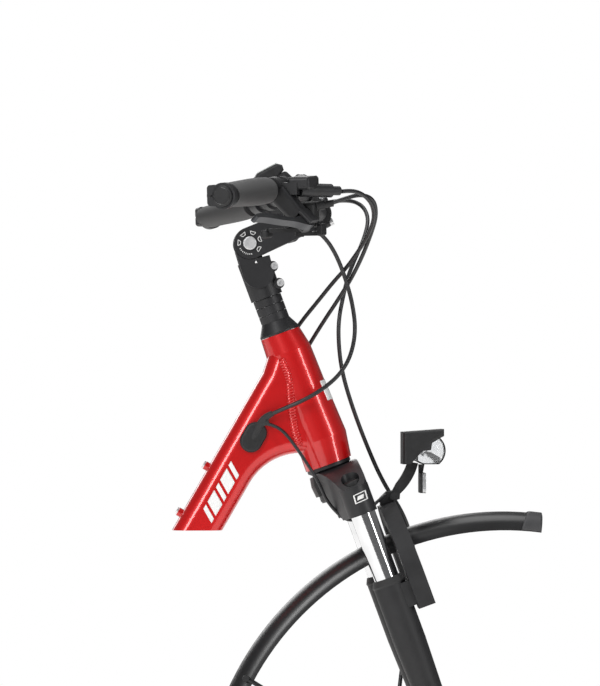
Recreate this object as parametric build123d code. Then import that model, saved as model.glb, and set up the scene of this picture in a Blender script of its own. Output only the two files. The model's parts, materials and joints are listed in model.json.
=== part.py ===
from build123d import *
from math import cos, pi, radians, sin, tan
import os

# Front end of a low-step electric bicycle, in millimetres.
# +X is forwards, +Y is the rider's left, +Z is up.
# The origin is the centre of the face where the down tube joins the rest of the frame.

# ---- driving dimensions: frame ----
head_angle = 69.7                # steering axis above the ground, degrees
lower_seat = (157.6, 0.0, 79.2)  # steering axis at the bottom of the head tube
head_length = 167.0
tube_angle = 60.0                # down tube above the ground, degrees
tube_depth = 52.0
tube_width = 50.0
tube_wall = 2.6
tube_top_round = 18.0
tube_low_round = 15.0
gusset_radius = 72.4             # where the down tube's lower side sweeps out to the head tube
gusset_start = 80.0              # along the tube from the joint face
boss_places = (8.0, 72.0)        # bottle cage bosses, 64 mm apart
boss_radius = 5.2
boss_height = 5.0
port_place = 130.0               # cable port centre, along the tube
port_length = 38.0
port_width = 27.0
port_height = 6.0

# ---- headset and steerer ----
steerer_radius = 14.3
crown_seat_radius = 19.9         # lower end of the tapered steerer
upper_bearing_radius = 21.0
lower_bearing_radius = 26.0
bearing_height = 8.0
steerer_top = 260.0
cover_height = 16.0
spacer_radius = 17.4
spacer_height = 10.0
spacer_count = 3
running_gap = 0.06

# ---- fork, along and across the steering axis ----
stanchion_offset = 15.4          # forwards of the steering axis
stanchion_half_gap = 64.0
stanchion_radius = 15.0
stanchion_end = -330.0
clamp_top = -34.0
clamp_bottom = -68.0
knob_radius = 10.0
knob_height = 7.5
axle_offset = 51.0
axle_drop = -467.0
hub_half_width = 50.0
axle_radius = 4.6
leg_top = -158.0
leg_radius = 19.5
leg_end = -436.0
seal_height = 9.0
arch_back = 38.5
arch_front = 59.0
arch_top = -69.0
rod_radius = 5.0

# ---- mudguard ----
guard_radius = 363.0
guard_half_width = 26.5
guard_wall = 1.8
guard_skirt = 22.0
guard_front = 7.5                # degrees ahead of the top
guard_back = 100.0               # degrees behind the top
stay_radius = 1.7
stay_eye = (-3.0, -443.0)        # beside the leg's foot, along and across the steering axis
stay_spacing = 76.0              # sideways, outside the brake caliper

# ---- stem and handlebar ----
pivot_height = 281.0             # stem pivot along the steering axis
pivot_offset = 2.6
cheek_radius = 19.0
cheek_outer = 21.5
tongue_half_width = 12.0
arm_length = 87.8
arm_angle = 23.8                 # above the horizon
clamp_radius = 17.6
clamp_half_width = 23.0
clamp_bolt_heights = (224.0, 245.5)
face_bolts = [(y, z) for y in (-15, 15) for z in (-15.8, 15.8)]
lowest_tilt = -10.0              # how far the arm tips down, degrees
bar_radius = 11.1
bar_middle_radius = 12.7
bar_elbow = 48.0                 # half width of the straight middle
bar_knee = (112.0, 112.0, 407.0)
bar_end = (21.6, 330.0, 387.0)
grip_length = 128.0
brake_station = 180.0            # sideways from the middle
inner_station = 150.0
hose_radius = 2.5
lead_radius = 2.0
thumb_pivot = (22.0, -2.0)        # the shift levers' pin, forwards of and along the bar

lean = 90 - head_angle
steer_place = Location(lower_seat, (0, -lean, 0))
bar_dir = (Vector(*bar_end) - Vector(*bar_knee)).normalized()
bar_front = Vector(bar_dir.Y, -bar_dir.X, 0).normalized()
tube_dir = Vector(cos(radians(tube_angle)), 0, sin(radians(tube_angle)))
tube_down = Vector(sin(radians(tube_angle)), 0, -cos(radians(tube_angle)))
side_plane = Plane(origin=(0, 0, 0), x_dir=(1, 0, 0), z_dir=(0, -1, 0))


def steer_point(x, y, z):
    """A point of the steering frame, whose Z runs up the steering axis, in the row frame."""
    return (steer_place * Pos(x, y, z)).position


def steer_flat(x, z):
    point = steer_point(x, 0, z)
    return (point.X, point.Z)


def tube_flat(along, across):
    """A point of the side view, given along the down tube and across it towards the front."""
    point = tube_dir * along + tube_down * across
    return (point.X, point.Z)


def slab(points, half, y=0.0):
    """A closed outline of the side view, as thick as twice half, about the plane at y."""
    face = make_face(side_plane.offset(-y) * Polyline(*points, close=True))
    return extrude(face, half, both=True)


def rod(start, end, radius, inner=0.0):
    """A round bar or tube from one point to another."""
    a, b = Vector(start), Vector(end)
    place = Plane(origin=a, z_dir=b - a)
    ring = Circle(radius) - Circle(inner) if inner else Circle(radius)
    return extrude(place * ring, (b - a).length)


def steer(shape):
    """A shape of the steering frame put in the row frame."""
    return steer_place * shape


def link(half, first, second, y=0.0):
    """A plate along Y whose outline hugs two discs, each given as (x, z, radius)."""
    discs = [Pos(x, z) * Circle(radius) for x, z, radius in (first, second)]
    outline = make_hull(discs[0].edges() + discs[1].edges())
    return extrude(side_plane.offset(-y) * outline, half, both=True)


def pin(x, z, radius, y_from, y_to):
    """A round pin along Y."""
    return rod((x, y_from, z), (x, y_to, z), radius)


def turned(profile):
    """A solid of revolution about Z from (radius, height) points."""
    face = make_face(Plane.XZ * Polyline(*profile, close=True))
    return revolve(face, Axis.Z)


# ---- frame ----
def down_tube(shrink):
    """The down tube's outside, or its inside when shrink is the wall."""
    half = tube_depth / 2 - shrink
    radius = gusset_radius + shrink
    sweep_end = 62.0 - shrink
    rise = radius - (radius**2 - sweep_end**2) ** 0.5
    middle = sweep_end * 0.55
    lower = [
        tube_flat(gusset_start, half),
        tube_flat(gusset_start + middle, half + radius - (radius**2 - middle**2) ** 0.5),
        tube_flat(gusset_start + sweep_end, half + rise),
    ]
    upper_end = steer_flat(-20, 150 - shrink)
    outline = [
        Line(tube_flat(-60, half), lower[0]),
        ThreePointArc(*lower),
        Line(lower[2], steer_flat(4, 20 + shrink)),
        Line(steer_flat(4, 20 + shrink), steer_flat(4, 150 - shrink)),
        Line(steer_flat(4, 150 - shrink), upper_end),
        Line(upper_end, tube_flat(203 - shrink, -half)),
        Line(tube_flat(203 - shrink, -half), tube_flat(-60, -half)),
        Line(tube_flat(-60, -half), tube_flat(-60, half)),
    ]
    body = extrude(make_face(side_plane * Wire(outline)), tube_width / 2 - shrink, both=True)

    def on_side(edge, across):
        middle_point = edge @ 0.5
        reach = middle_point.dot(tube_down)
        flat = abs(abs(middle_point.Y) - tube_width / 2 + shrink) < 0.01
        inside = middle_point.X < lower_seat[0] - 30
        return flat and inside and (reach < 0 if across < 0 else reach > 0)

    top_edges = [e for e in body.edges() if on_side(e, -1)]
    body = fillet(top_edges, tube_top_round - shrink)
    low_edges = [e for e in body.edges() if on_side(e, 1) and e.length > 20]
    return fillet(low_edges, tube_low_round - shrink)


def head_tube():
    """The flared head tube: height, forward shift and radius of each ring."""
    rings = [(0, 0.4, 28.8), (31, 3.0, 31.0), (95, 2.3, 28.6), (143, 2.0, 27.6), (head_length, 0, 24.5)]
    sections = [Pos(shift, 0, height) * Circle(radius) for height, shift, radius in rings]
    return loft(Sketch() + sections, ruled=True)


def frame_front():
    bore = turned([
        (0, -1), (lower_bearing_radius, -1), (lower_bearing_radius, bearing_height),
        (23, bearing_height), (18.6, head_length - bearing_height),
        (upper_bearing_radius, head_length - bearing_height),
        (upper_bearing_radius, head_length + 1), (0, head_length + 1),
    ])
    tube = down_tube(0) - (down_tube(tube_wall) - Pos(0, 0, -92) * Box(400, 200, 200))
    frame = tube + steer_place * head_tube() - steer_place * bore
    for along in boss_places:
        foot = tube_dir * along - tube_down * (tube_depth / 2 - 2)
        frame += rod(foot, foot - tube_down * (boss_height + 2), boss_radius)
        frame -= rod(foot + tube_down * 2, foot - tube_down * (boss_height + 3), 2.55)
    for side in (-1, 1):
        mouth = tube_dir * (port_place + 6)
        frame -= rod(mouth + Vector(0, side * 15, 0), mouth + Vector(0, side * 30, 0), 8)
    below = Pos(0, 0, -100) * Box(400, 200, 200)
    return frame - below


def headset_bearings():
    lower = turned([
        (crown_seat_radius + running_gap, 0), (lower_bearing_radius, 0),
        (lower_bearing_radius, bearing_height), (crown_seat_radius + running_gap, bearing_height),
    ])
    top = head_length
    upper = turned([
        (steerer_radius + running_gap, top - bearing_height), (upper_bearing_radius, top - bearing_height),
        (upper_bearing_radius, top), (steerer_radius + running_gap, top),
    ])
    return steer(lower + upper)


def bottle_bolts():
    bolts = Part()
    for along in boss_places:
        seat = tube_dir * along - tube_down * (tube_depth / 2 + boss_height)
        bolts += rod(seat, seat - tube_down * 2.2, 4.6, 1.6)
        bolts += rod(seat + tube_down * 12, seat - tube_down * 0.2, 2.5)
    return bolts


def port_cover(side):
    """A low oval cap on the tube's side, with a mouth for the hoses at its upper end."""
    outline = side_plane * Rot(0, 0, tube_angle) * SlotOverall(port_length, port_width)
    centre = tube_dir * port_place + tube_down * 2
    face = Pos(centre.X, side * (tube_width / 2 - 1), centre.Z) * outline
    cover = extrude(face, amount=port_height + 1, dir=(0, side, 0))
    rim = cover.faces().sort_by(Axis.Y)[0 if side < 0 else -1].edges()
    cover = fillet(rim, 3.5)
    mouth = centre + tube_dir * 6 + Vector(0, side * 22, 0)
    return cover - rod(mouth, mouth + tube_dir * 30 + Vector(0, side * 12, 0), 5.5) - tube_core()


def tube_core():
    """The space that the down tube's wall and its inside fill."""
    middle = Plane(origin=(0, 0, 0), x_dir=(0, 1, 0), z_dir=tube_dir)
    return extrude(middle * Rectangle(tube_width + 0.02, 3 * tube_depth), 240)


# ---- fork ----
def steerer_tube():
    return steer(turned([
        (16.4, -6), (crown_seat_radius, -6), (crown_seat_radius, bearing_height), (steerer_radius, 58),
        (steerer_radius, steerer_top), (12.1, steerer_top), (12.1, 58),
    ]))


def fork_crown():
    """An arched bridge between two leg clamps, with the seat of the lower bearing on its neck."""
    neck = turned([(0, -0.3), (27, -0.3), (27, -4), (23, -7), (24, -40), (0, -40)])
    front = Plane(origin=(-40, 0, 0), x_dir=(0, 1, 0), z_dir=(1, 0, 0))
    arch = [
        Line((-2, -6), (24, -6)), ThreePointArc((24, -6), (52, -16), (80, -38)),
        Line((80, -38), (80, clamp_bottom)), Line((80, clamp_bottom), (47, clamp_bottom)),
        ThreePointArc((47, clamp_bottom), (38, -52), (24, -42)), Line((24, -42), (-2, -42)),
    ]
    half = make_face(front * Wire(arch + [Line((-2, -42), (-2, -6))]))
    bridge = extrude(half, 90, dir=(1, 0, 0))
    bridge += mirror(bridge, Plane.XZ)
    discs = [Pos(3, 0) * Circle(26)]
    discs += [Pos(stanchion_offset, side * stanchion_half_gap) * Circle(17.6) for side in (-1, 1)]
    plan = make_hull(discs[0].edges() + discs[1].edges() + discs[2].edges())
    crown = bridge & extrude(plan, 80, both=True)
    crown += neck
    for side in (-1, 1):
        place = Pos(stanchion_offset, side * stanchion_half_gap, clamp_bottom)
        crown += place * Cylinder(18, clamp_top - clamp_bottom, align=(Align.CENTER, Align.CENTER, Align.MIN))
        crown -= place * Pos(0, 0, -1) * Cylinder(
            stanchion_radius, clamp_top - clamp_bottom - 3, align=(Align.CENTER, Align.CENTER, Align.MIN))
        above = Cylinder(knob_radius + 1, 40, align=(Align.CENTER, Align.CENTER, Align.MIN))
        crown -= Pos(stanchion_offset, side * stanchion_half_gap, clamp_top) * above
        crown += Pos(stanchion_offset, side * stanchion_half_gap, clamp_top - 1) * Cylinder(
            3.5, 6, align=(Align.CENTER, Align.CENTER, Align.MIN))
    crown -= Cylinder(crown_seat_radius, 200)
    return steer(crown)


def crown_bumper():
    """The rubber stop behind the crown's neck."""
    block = turned([(24.3, -9), (27, -9), (29, -20), (27.6, -33), (24.3, -33)])
    sector = Pos(-25, 0, -20) * Box(26, 28, 40)
    return steer(block & sector)


def stanchions():
    tubes = Part()
    for side in (-1, 1):
        place = Pos(stanchion_offset, side * stanchion_half_gap, 0)
        outer = rod((0, 0, stanchion_end), (0, 0, clamp_top - 4), stanchion_radius, stanchion_radius - 2)
        tubes += place * outer
    return steer(tubes)


def fork_knob(side):
    """A ribbed cap on the spigot at the top of a leg."""
    cap = Cylinder(knob_radius, knob_height, align=(Align.CENTER, Align.CENTER, Align.MIN))
    cap = fillet(cap.faces().sort_by(Axis.Z)[-1].edges(), 2)
    cap -= Cylinder(3.5 + running_gap, 5.6, align=(Align.CENTER, Align.CENTER, Align.MIN))
    cap += Pos(0, 0, knob_height - 0.2) * Box(12, 3, 1.6, align=(Align.CENTER, Align.CENTER, Align.MIN))
    return steer(Pos(stanchion_offset, side * stanchion_half_gap, clamp_top + 0.1) * cap)


def fork_springs():
    """The coil springs inside the stanchions, above the lowers' rods."""
    springs = Part()
    for side in (-1, 1):
        coil = Helix(pitch=13, height=156, radius=9)
        wire = sweep(Plane(origin=coil @ 0, z_dir=coil % 0) * Circle(1.8), path=coil)
        springs += Pos(stanchion_offset, side * stanchion_half_gap, -216) * wire
    return steer(springs)


def fork_lowers():
    """Both legs, the arch in front of them, the dropouts and the caliper's posts, one casting."""
    legs = Part()
    hollow = Part()
    for side in (-1, 1):
        place = Pos(stanchion_offset, side * stanchion_half_gap, 0)
        legs += place * turned([
            (0, leg_top), (leg_radius, leg_top), (leg_radius, -230), (17.6, -290), (17.6, leg_end + 8),
            (12, leg_end - 4), (0, leg_end - 4),
        ])
        hollow += place * turned([
            (0, leg_top + 1), (stanchion_radius + running_gap, leg_top + 1),
            (stanchion_radius + running_gap, -395), (0, -395),
        ])
        drop = link(4.5, (stanchion_offset + 4, leg_end + 14, 13), (axle_offset, axle_drop, 15),
                    side * (hub_half_width + 4.5))
        legs += drop
        legs += link(4.5, (stanchion_offset, leg_end + 4, 12), (*stay_eye, 6), side * 60)
        hollow += pin(*stay_eye, 2.55, side * 54, side * 66)
    front = Plane(origin=(arch_back, 0, 0), x_dir=(0, 1, 0), z_dir=(1, 0, 0))
    arch = [
        Line((0, arch_top), (20, arch_top)), ThreePointArc((20, arch_top), (62, -98), (84, leg_top - 8)),
        Line((84, leg_top - 8), (82, -196)), Line((82, -196), (50, -196)), Line((50, -196), (48, -150)),
        ThreePointArc((48, -150), (36, -112), (16, -94)), Line((16, -94), (0, -94)),
    ]
    half = make_face(front * Wire(arch + [Line((0, -94), (0, arch_top))]))
    bridge = extrude(half, arch_front - arch_back, dir=(1, 0, 0))
    for side in (-1, 1):
        shoulder = Pos(36, side * 67, (leg_top - 192) / 2) * Box(22, 26, 192 + leg_top - 4)
        bridge += fillet(shoulder.edges().filter_by(Axis.Z), 4)
    bridge += mirror(bridge, Plane.XZ)
    posts = Part()
    for height in (-362, -424):
        posts += rod((stanchion_offset - 8, 57, height), (-16, 57, height), 7)
        hollow += rod((-8, 57, height), (-17, 57, height), 3.05)
    lowers = legs + bridge + posts - hollow
    for side in (-1, 1):
        lowers -= pin(axle_offset, axle_drop, axle_radius, side * 45, side * 65)
        lowers -= Pos(axle_offset, side * 55, axle_drop - 12) * Box(2 * axle_radius, 14, 24)
    return steer(lowers)


def dust_seals():
    seals = Part()
    for side in (-1, 1):
        inner = stanchion_radius + running_gap
        seals += Pos(stanchion_offset, side * stanchion_half_gap, leg_top) * turned([
            (inner, 0), (leg_radius, 0), (leg_radius + 0.8, 2), (leg_radius - 0.5, 5),
            (inner + 2, seal_height), (inner, seal_height),
        ])
    return steer(seals)


def fork_rods():
    """Rods that stand on the lowers' feet and carry the springs."""
    rods = Part()
    for side in (-1, 1):
        place = Pos(stanchion_offset, side * stanchion_half_gap, 0)
        rods += place * (rod((0, 0, -395), (0, 0, -222), rod_radius) + rod((0, 0, -222), (0, 0, -218.2), 11))
    return steer(rods)


def brake_caliper():
    body = Pos(-30, 45, -393) * Box(28, 32, 76)
    body = fillet(body.edges().filter_by(Axis.Y), 9)
    body = fillet(body.faces().sort_by(Axis.Y)[-1].edges(), 5)
    body -= Pos(-18, 42, -393) * Box(40, 2.6, 90)
    body += rod((-30, 54, -356), (-30, 56, -347.5), 4)
    for height in (-362, -424):
        body -= rod((0, 57, height), (-50, 57, height), 3.1)
    bolts = Part()
    for height in (-362, -424):
        bolts += rod((-8, 57, height), (-48, 57, height), 3) + rod((-44.2, 57, height), (-50, 57, height), 5)
    return steer(body + bolts)


# ---- mudguard ----
def hub_point():
    return steer_point(axle_offset, 0, axle_drop)


def guard_point(angle, radius, y=0.0):
    """A point above the wheel; the angle is from the top, forwards."""
    hub = hub_point()
    turn = radians(angle)
    return Vector(hub.X + radius * sin(turn), y, hub.Z + radius * cos(turn))


def mudguard():
    """A half-oval channel about the wheel's axis."""
    hub = hub_point()
    start = Plane(origin=guard_point(guard_front, guard_radius - guard_skirt),
                  x_dir=(0, 1, 0), z_dir=(cos(radians(guard_front)), 0, -sin(radians(guard_front))))
    outer = Ellipse(guard_half_width, guard_skirt)
    inner = Ellipse(guard_half_width - guard_wall, guard_skirt - guard_wall)
    cut = Pos(0, -guard_skirt) * Rectangle(4 * guard_half_width, 2 * guard_skirt)
    upright = -1 if (start.y_dir.Z < 0) else 1
    profile = Rot(0, 0, 180 if upright < 0 else 0) * (outer - inner - cut)
    axis = Axis(hub, (0, -1, 0))
    guard = revolve(start * profile, axis, guard_front + guard_back)
    top = steer_point(arch_back + 8, 0, -94)
    foot = steer_point(arch_back + 8, 0, -108)
    below = Pos(hub.X, 0, hub.Z) * Rot(90, 0, 0) * Cylinder(guard_radius - 1.2, 60)
    return guard + (rod(foot, top, 6) - below)


def guard_stays():
    """Two wire stays on each side, from the screw beside the leg's foot to the mudguard's edge."""
    stays = Part()
    eye = steer_point(stay_eye[0], 0, stay_eye[1])
    for side in (-1, 1):
        root = Vector(eye.X, side * stay_spacing, eye.Z)
        for angle in (-62, -88):
            edge = guard_point(angle, guard_radius - 12, side * (guard_half_width + 1.2))
            stays += rod(root, edge, stay_radius)
            stays += rod(edge + Vector(0, side * 3, 0), edge - Vector(0, side * 3.4, 0), 4)
        stays += rod((eye.X, side * 55, eye.Z), (eye.X, side * (stay_spacing + 3), eye.Z), 2.5)
        stays += rod((eye.X, side * 64.6, eye.Z), (eye.X, side * (stay_spacing + 3), eye.Z), 4.5)
    return stays - mudguard()


# ---- stem ----
def pivot_point():
    return steer_point(pivot_offset, 0, pivot_height)


def clamp_point():
    pivot = pivot_point()
    reach = radians(arm_angle)
    return Vector(pivot.X + arm_length * cos(reach), 0, pivot.Z + arm_length * sin(reach))


def arm(shape):
    """A shape of the stem arm's frame, X along the arm from the pivot, put in the row frame."""
    pivot = pivot_point()
    return Pos(pivot.X, 0, pivot.Z) * Rot(0, -arm_angle, 0) * shape


def headset_cover():
    return steer(turned([
        (steerer_radius, head_length + 0.3), (24.5, head_length + 0.3), (24.5, head_length + 2.5),
        (spacer_radius, head_length + cover_height), (steerer_radius, head_length + cover_height),
    ]))


def headset_spacers():
    rings = Part()
    for n in range(spacer_count):
        ring = Pos(0, 0, head_length + cover_height + n * spacer_height) * rod(
            (0, 0, 0), (0, 0, spacer_height - 0.2), spacer_radius, steerer_radius)
        rings += fillet(ring.edges().filter_by(GeomType.CIRCLE).group_by(SortBy.RADIUS)[-1], 0.6)
    return steer(rings)


def stem_base():
    """A clamp around the steerer, shouldered below the arm, with a tongue between the arm's cheeks."""
    foot = head_length + cover_height + spacer_count * spacer_height
    body = rod((0, 0, foot), (0, 0, steerer_top + 1), 19.6)
    for height in clamp_bolt_heights:
        body += pin(19, height, 6.5, -15, 15)
    body += link(cheek_outer, (0, steerer_top - 16, 18.5), (pivot_offset, pivot_height, cheek_radius))
    low = radians(arm_angle - lean + lowest_tilt)
    reach = (pivot_offset + 60 * cos(low), pivot_height + 60 * sin(low))
    body -= link(cheek_outer + 1, (pivot_offset, pivot_height, cheek_radius + 0.5), (*reach, cheek_radius))
    body += link(tongue_half_width, (pivot_offset, steerer_top - 4, 9), (pivot_offset, pivot_height, 9))
    body += pin(pivot_offset, pivot_height, cheek_radius - 1, -tongue_half_width, tongue_half_width)
    body -= rod((0, 0, foot - 1), (0, 0, steerer_top + 3), steerer_radius)
    body -= Pos(20, 0, foot + 20) * Box(24, 2.4, 60)
    body -= pin(pivot_offset, pivot_height, 4 + running_gap, -30, 30)
    for height in clamp_bolt_heights:
        body -= pin(21, height, 2.55, -20, 20)
        body -= pin(21, height, 4.8, -30, -15)
    return steer(body)


def stem_clamp_bolts():
    bolts = Part()
    for height in clamp_bolt_heights:
        bolts += pin(21, height, 2.5, -15.2, 14) + pin(21, height, 4.4, -19.6, -15.05)
        bolts -= pin(21, height, 2, -20, -17.4)
    return steer(bolts)


def steerer_cap():
    """The plug that closes the steerer, between the arm's cheeks."""
    return steer(rod((0, 0, steerer_top - 30), (0, 0, steerer_top + 2.4), tongue_half_width))


def stem_pivot_bolt():
    middle = (pivot_offset, pivot_height)
    bolt = pin(*middle, 4, -cheek_outer - 0.1, cheek_outer + 0.1)
    head = pin(*middle, 8, -cheek_outer - 4, -cheek_outer)
    head = fillet(head.edges().filter_by(GeomType.CIRCLE).sort_by(Axis.Y)[0], 1.2)
    socket = Pos(pivot_offset, -cheek_outer - 3, pivot_height) * Rot(90, 0, 0) * extrude(
        RegularPolygon(3.2, 6), 3)
    nut = pin(*middle, 7, cheek_outer, cheek_outer + 4)
    return steer(bolt + head + nut - socket)


def stem_arm():
    """Two round cheeks on the pivot, a tapering arm and the rear half of the bar clamp."""
    body = link(cheek_outer, (0, 0, cheek_radius), (arm_length, 0, clamp_radius - 0.6))
    body -= pin(0, 0, cheek_radius + 4, -tongue_half_width - 0.3, tongue_half_width + 0.3)
    whole = body + pin(arm_length, 0, clamp_radius, -clamp_half_width, clamp_half_width)
    whole -= pin(arm_length, 0, bar_middle_radius, -60, 60)
    whole -= pin(0, 0, 4 + running_gap, -30, 30)
    whole -= Pos(arm_length + 26, 0, 0) * Box(50, 60, 60)
    for y, z in face_bolts:
        whole += rod((arm_length - 12, y, z), (arm_length + 1, y, z), 4.5)
    for y, z in face_bolts:
        whole -= rod((arm_length - 18, y, z), (arm_length + 9, y, z), 2.55)
    whole -= pin(arm_length, 0, bar_middle_radius, -60, 60)
    return arm(whole)


def stem_faceplate():
    plate = pin(arm_length, 0, clamp_radius, -clamp_half_width, clamp_half_width)
    for y, z in face_bolts:
        plate += rod((arm_length + 2, y, z), (arm_length + 10, y, z), 4.5)
    plate -= Pos(arm_length - 24, 0, 0) * Box(52, 60, 60)
    plate -= pin(arm_length, 0, bar_middle_radius, -60, 60)
    for y, z in face_bolts:
        plate -= rod((arm_length, y, z), (arm_length + 10, y, z), 2.55)
        plate -= rod((arm_length + 10, y, z), (arm_length + 20, y, z), 4.7)
    return arm(plate)


def faceplate_bolts():
    bolts = Part()
    for y, z in face_bolts:
        bolts += rod((arm_length - 17, y, z), (arm_length + 10, y, z), 2.5)
        bolts += rod((arm_length + 10, y, z), (arm_length + 14.5, y, z), 4.2)
    return arm(bolts)


# ---- handlebar and what is clamped on it ----
def bar_point(y):
    """A point of the straight outer part of the left side, given how far sideways it is."""
    knee, end = Vector(*bar_knee), Vector(*bar_end)
    return knee + (end - knee) * ((y - knee.Y) / (end.Y - knee.Y))


def on_bar(y):
    """A place on the left side: X forwards, Y along the bar towards its end, Z up."""
    return Location(Plane(origin=bar_point(y), x_dir=bar_front, z_dir=bar_front.cross(bar_dir)))


def both(shape, side):
    """The left side's shape, or its mirror image on the right."""
    return shape if side > 0 else mirror(shape, Plane.XZ)


def handlebar():
    """A bent tube with a thicker sleeve where the stem and the display hold it."""
    clamp = clamp_point()
    left = [Vector(clamp.X, bar_elbow, clamp.Z), Vector(*bar_knee), Vector(*bar_end)]
    right = [Vector(p.X, -p.Y, p.Z) for p in reversed(left)]
    path = FilletPolyline(*right, *left, radius=[55, 55, 55, 55])
    start = Plane(origin=path @ 0, z_dir=path % 0)
    tube = sweep(start * (Circle(bar_radius) - Circle(bar_radius - 2)), path=path)
    sleeve = [(bar_radius - 1, 33), (bar_middle_radius, 33), (bar_middle_radius, -33), (bar_radius - 1, -33)]
    swell = revolve(make_face(Plane.XY * Polyline(*sleeve, close=True)), Axis.Y)
    return tube + Pos(clamp.X, 0, clamp.Z) * swell


def grip(side):
    """A rubber sleeve that widens into a palm wing behind the bar's end."""
    start = grip_length / 2
    sections = [(0, 0, 15.2, 15.2), (0.3, -0.5, 16.6, 16.0), (0.66, -2, 18.4, 14.8), (1, -3.6, 20, 13.8)]
    rings = []
    for part, shift, wide, high in sections:
        face = Plane(origin=(shift, part * grip_length, 0), x_dir=(1, 0, 0), z_dir=(0, 1, 0))
        rings.append(face * Ellipse(wide, high))
    sleeve = loft(Sketch() + rings) - Pos(0, start, 0) * Rot(90, 0, 0) * Cylinder(bar_radius, grip_length + 2)
    return both(on_bar(201) * sleeve, side)


def grip_clamps():
    """The lock rings outside the grips, slit at the back."""
    rings = Part()
    ring = Rot(-90, 0, 0) * rod((0, 0, 0), (0, 0, 11), 15, bar_radius)
    ring = Pos(0, grip_length + 0.2, 0) * ring
    ears = Pos(-10, grip_length + 5.7, 0.5) * Box(18, 11, 24)
    ears = fillet(ears.edges().filter_by(Axis.Y), 4)
    ring += ears - Rot(-90, 0, 0) * Cylinder(bar_radius, 400)
    ring -= Pos(-16, grip_length + 5, 0) * Box(14, 14, 2)
    for side in (-1, 1):
        rings += both(on_bar(201) * ring, side)
    return rings


def bar_plugs():
    plugs = Part()
    far = (Vector(*bar_end) - bar_point(201)).length
    for side in (-1, 1):
        plug = rod((0, far, 0), (0, far + 3, 0), 12) + rod((0, far - 14, 0), (0, far, 0), bar_radius - 2)
        plug = fillet(plug.edges().filter_by(GeomType.CIRCLE).sort_by(Axis.Y)[-1], 2)
        plugs += both(on_bar(201) * plug, side)
    return plugs


def brake_body(side):
    """Clamp, pivot fork, level reservoir and hose barrel of a hydraulic lever, one casting."""
    clamp = rod((0, -9, 0), (0, 9, 0), 14.8)
    neck = loft(Sketch() + [
        Plane(origin=(8, 0, -4), x_dir=(0, 1, 0), z_dir=(0.7, 0, -0.7)) * RectangleRounded(22, 24, 5),
        Plane(origin=(30, -4, -30), x_dir=(0, 1, 0), z_dir=(0.7, 0, -0.7)) * RectangleRounded(22, 20, 5),
    ])
    fork = Plane(origin=(30, -6, -30), x_dir=(0, 1, 0), z_dir=(0.7, 0, -0.7))
    cheeks = extrude(fork * RectangleRounded(26, 20, 4), 19)
    cheeks -= extrude(fork * Pos(4, 0) * Rectangle(40, 9.4), 30) - extrude(fork * Rectangle(40, 20), 1)
    tank = fillet((Pos(33, -14, 7) * Box(28, 36, 15)).edges(), 4)
    barrel = rod((30, -8, -1), (56, -44, -4), 8) + rod((56, -44, -4), (63, -54, -4.6), 5.4)
    web = Pos(19, -2, 1) * Box(26, 14, 14)
    body = clamp + neck + cheeks + web + tank + barrel
    body -= rod((0, -12, 0), (0, 12, 0), bar_radius)
    body -= Pos(-14, 0, 0) * Box(12, 30, 1.6)
    body += lever_pin(3, 20)
    return both(on_bar(brake_station) * body, side)


def lever_axis():
    """Direction of the lever's pin, square to the bar and to the lever."""
    return Vector(0.7071, 0, 0.7071)


def lever_pin(radius, length):
    middle = Vector(39.5, -8, -39.5)
    half = lever_axis() * (length / 2)
    return rod(middle - half, middle + half, radius)


def brake_blade(side):
    """A long blade whose far end comes nearer to the grip and then turns away."""
    plane = Plane(origin=(0, 0, 0), x_dir=(0, 1, 0), z_dir=(0.7071, 0, 0.7071))
    far = [(-15, 50), (-14, 62), (6, 63), (30, 57), (70, 50), (110, 43), (132, 41)]
    near = [(134, 36), (110, 35.5), (70, 41), (34, 48), (14, 47)]
    if plane.y_dir.dot(Vector(1, 0, -1)) < 0:
        plane = Plane(origin=(0, 0, 0), x_dir=(0, 1, 0), z_dir=(-0.7071, 0, -0.7071))
    outline = Wire([
        Line(far[0], far[1]), Spline(*far[1:]), ThreePointArc(far[-1], (136.5, 38), near[0]),
        Spline(*near), Line(near[-1], far[0]),
    ])
    blade = extrude(plane * make_face(outline), 4.3, both=True)
    eye = lever_pin(7, 8.6)
    blade = blade + eye - lever_pin(3 + running_gap, 40)
    return both(on_bar(brake_station) * blade, side)


def shifter_barrel():
    return rod((40, -3, -21.4), (49, -8, -20), 5.5) + rod((49, -8, -20), (58, -13, -18.7), 4)


def shifter_body():
    """The right hand's trigger shifter, hung under the bar, with the levers' pin below it."""
    clamp = rod((0, -6, 0), (0, 6, 0), 14)
    case = fillet((Pos(22, -2, -31) * Box(40, 22, 30)).edges(), 6)
    hanger = Pos(9, 0, -15) * Box(18, 11, 16)
    body = clamp + case + hanger + rod((*thumb_pivot, -44), (*thumb_pivot, -57), 2.5)
    body -= rod((0, -12, 0), (0, 12, 0), bar_radius) + shifter_barrel()
    return both(on_bar(inner_station) * body, -1)


def barrel_adjuster():
    return both(on_bar(inner_station) * shifter_barrel(), -1)


def swing_plate(far, radius, low, high):
    """A flat lever between the shifter's pin and a rounded far end."""
    discs = [Pos(*thumb_pivot) * Circle(8), Pos(*far) * Circle(radius)]
    plate = extrude(Pos(0, 0, (low + high) / 2) * make_hull(discs[0].edges() + discs[1].edges()),
                    (high - low) / 2, both=True)
    return plate - rod((*thumb_pivot, low - 1), (*thumb_pivot, high + 1), 2.5 + running_gap)


def shift_lever():
    """The thumb lever, behind and below the shifter."""
    paddle = fillet((Pos(-17, 10, -52.5) * Box(9, 20, 10)).edges(), 3)
    lever = swing_plate((-12, 9), 6, -51, -46.4) + paddle
    return both(on_bar(inner_station) * lever, -1)


def release_lever():
    """The finger lever in front of the shifter."""
    tip = fillet((Pos(46.5, -3, -49) * Box(7, 18, 14)).edges(), 2.5)
    return both(on_bar(inner_station) * (swing_plate((41, -2), 6, -55.6, -51.4) + tip), -1)


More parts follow.
